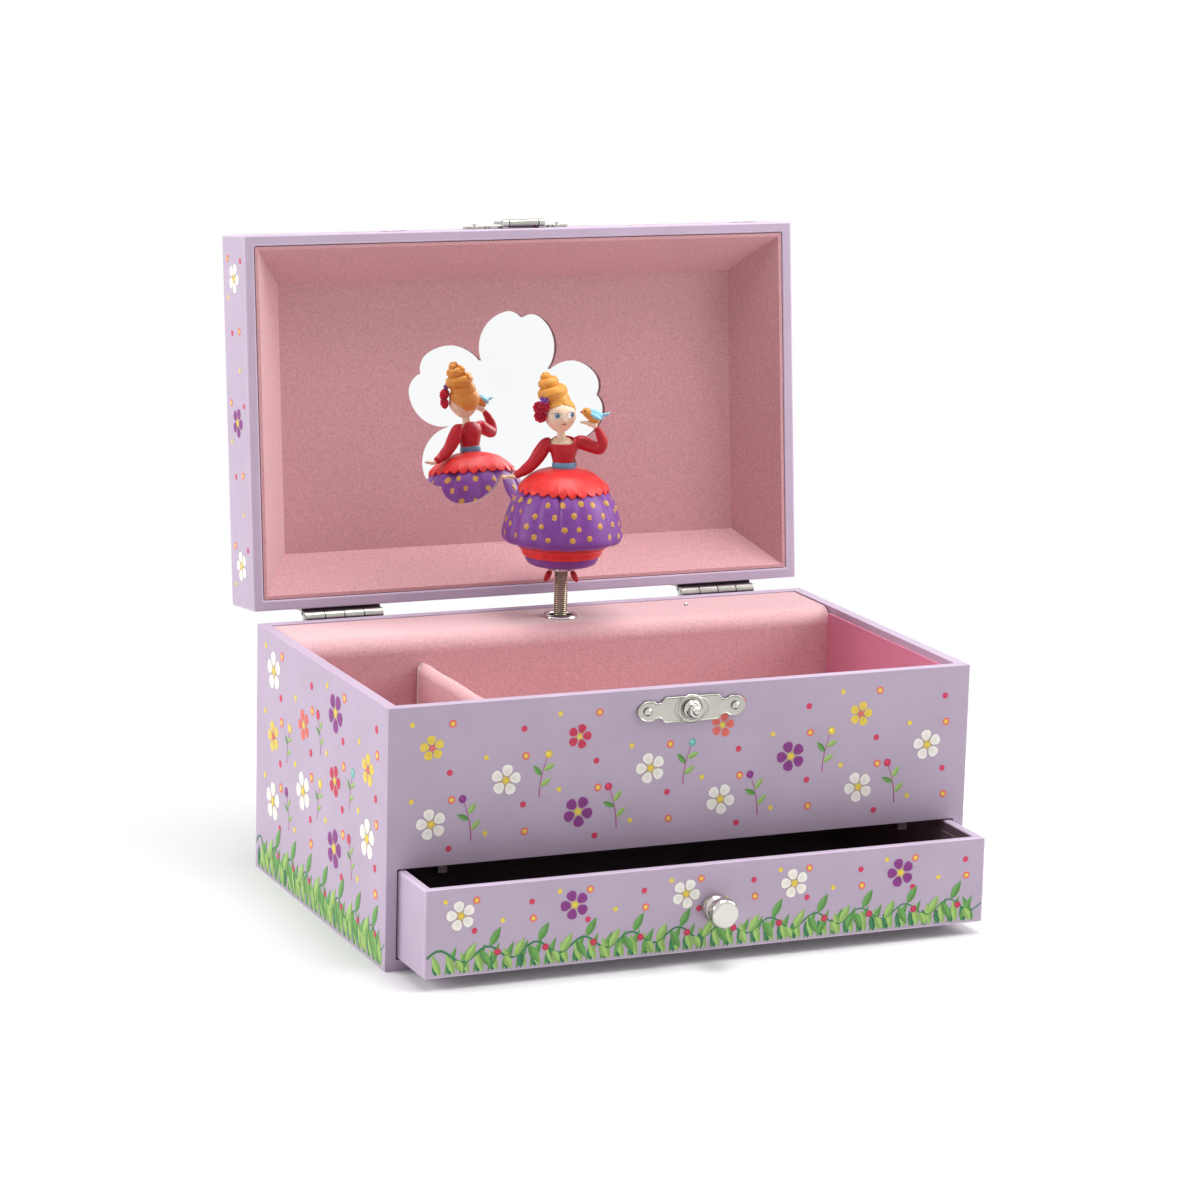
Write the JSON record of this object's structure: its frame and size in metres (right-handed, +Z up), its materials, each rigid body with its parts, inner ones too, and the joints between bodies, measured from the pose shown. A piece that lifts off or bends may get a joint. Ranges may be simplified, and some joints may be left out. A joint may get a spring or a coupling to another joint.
{
  "type": "musical jewellery box",
  "caption": "Jewellery box with a mirrored hinged lid, felt compartments, a pull-out drawer and a dancer on a spring turned by a wind-up musical movement.",
  "frame": {"origin": "middle of the case's underside, on the surface it stands on", "axes": "+Z up, -Y to the front where the drawer and the catch are, +X to the right seen from the front"},
  "size_m": [0.18, 0.1779, 0.1915],
  "materials": {
    "wrapped_board": "lavender printed paper over rigid board, satin",
    "pink_felt": "short flocked felt",
    "dark_lining": "matte dark lining paper",
    "nickel": "bright nickel plate",
    "mirror_glass": "silvered glass",
    "clear_plastic": "clear film",
    "brass": "machined",
    "steel": "bright steel",
    "zinc_casting": "as cast",
    "skirt_paint": "hand-painted cast resin",
    "bodice_paint": "hand-painted cast resin",
    "head_paint": "hand-painted cast resin",
    "bird_paint": "hand-painted cast resin"
  },
  "bodies": {
    "case": {"base_panel": "wrapped_board", "left_side": "wrapped_board", "right_side": "wrapped_board", "front_fascia": "wrapped_board", "drawer_shelf": "wrapped_board", "back_panel": "wrapped_board", "drawer_stop_tabs": "clear_plastic", "compartment_floor": "pink_felt", "front_lining": "pink_felt", "side_linings": "pink_felt", "mechanism_cover": "pink_felt", "divider": "pink_felt", "deck_ferrule": "nickel", "hinge_case_leaves": "nickel", "hinge_pins": "nickel", "catch_plate": "nickel", "catch_stud": "nickel", "catch_rivets": "nickel", "bedplate": "zinc_casting", "movement_screws": "steel", "spring_drum": "steel", "mainspring": "steel", "tune_comb": "steel", "comb_screws": "steel", "governor_frame": "steel"},
    "lid": {"lid_top": "wrapped_board", "lid_left_wall": "wrapped_board", "lid_right_wall": "wrapped_board", "lid_front_wall": "wrapped_board", "lid_back_wall": "wrapped_board", "mirror": "mirror_glass", "lid_liner": "pink_felt", "hinge_lid_leaves": "nickel", "hasp_plate": "nickel", "hasp_pin": "nickel", "hasp_rivets": "nickel"},
    "hasp": {"hasp_tongue": "nickel"},
    "drawer": {"drawer_front_board": "wrapped_board", "drawer_left_side": "wrapped_board", "drawer_right_side": "wrapped_board", "drawer_back_board": "wrapped_board", "drawer_bottom": "wrapped_board", "drawer_lining": "dark_lining", "drawer_knob": "nickel", "knob_screw": "steel"},
    "main_wheel": {"crown_wheel": "brass", "key_arbor": "steel", "winding_key": "nickel"},
    "cylinder": {"tune_cylinder": "brass", "cylinder_arbor": "brass"},
    "governor": {"governor_arbor": "brass"},
    "fly": {"governor_fly": "steel"},
    "spindle": {"dancer_spindle": "steel"},
    "spring_carrier": {"dancer_spring": "steel"},
    "dancer": {"dancer_socket": "steel", "dancer_skirt": "skirt_paint", "dancer_torso": "bodice_paint", "dancer_head": "head_paint", "dancer_bird": "bird_paint"},
    "stop_button": {"stop_pin": "steel"}
  },
  "joints": [
    {"name": "lid_hinge", "type": "hinge", "parent": "case", "child": "lid", "pos_m": [0, 0.0586, 0.0753], "axis": [1, 0, 0], "range_deg": [0, 96.2]},
    {"name": "hasp_swing", "type": "hinge", "parent": "lid", "child": "hasp", "pos_m": [0.001, 0.07582, 0.19031], "axis": [1, 0, 0], "range_deg": [0, 180]},
    {"name": "drawer_slide", "type": "slide", "parent": "case", "child": "drawer", "axis": [0, -1, 0], "range_m": [-0.0206, 0.0801]},
    {"name": "dancer_fold", "type": "hinge", "parent": "case", "child": "spring_carrier", "pos_m": [0.0018, 0.0415, 0.069], "axis": [1, 0, 0], "range_deg": [0, 92], "stiffness_Nm_per_rad": 0.01, "deforming": ["dancer_spring"]},
    {"name": "dancer_spin", "type": "hinge", "parent": "spring_carrier", "child": "dancer", "pos_m": [0.0018, 0.0415, 0.09], "axis": [0, 0, 1], "continuous": true},
    {"name": "spindle_spin", "type": "hinge", "parent": "case", "child": "spindle", "pos_m": [0.0018, 0.0415, 0.06], "axis": [0, 0, 1], "continuous": true},
    {"name": "cylinder_spin", "type": "hinge", "parent": "case", "child": "cylinder", "pos_m": [0.026, 0.0415, 0.047], "axis": [1, 0, 0], "continuous": true},
    {"name": "main_wheel_spin", "type": "hinge", "parent": "case", "child": "main_wheel", "pos_m": [0.0018, 0.045, 0.047], "axis": [0, 1, 0], "continuous": true},
    {"name": "governor_spin", "type": "hinge", "parent": "case", "child": "governor", "pos_m": [0.045, 0.0415, 0.058], "axis": [1, 0, 0], "continuous": true},
    {"name": "fly_spin", "type": "hinge", "parent": "case", "child": "fly", "pos_m": [0.047, 0.0355, 0.066], "axis": [1, 0, 0], "continuous": true},
    {"name": "stop_press", "type": "slide", "parent": "case", "child": "stop_button", "axis": [0, 0, -1], "range_m": [0, 0.002], "stiffness_N_per_m": 50}
  ],
  "couplings": [
    {"joint": "dancer_fold", "follows": "lid_hinge", "ratio": 0.95634},
    {"joint": "spindle_spin", "follows": "dancer_spin", "ratio": 1},
    {"joint": "cylinder_spin", "follows": "dancer_spin", "ratio": 1},
    {"joint": "main_wheel_spin", "follows": "dancer_spin", "ratio": -0.27778},
    {"joint": "governor_spin", "follows": "dancer_spin", "ratio": -3.4},
    {"joint": "fly_spin", "follows": "dancer_spin", "ratio": 13.6}
  ]
}
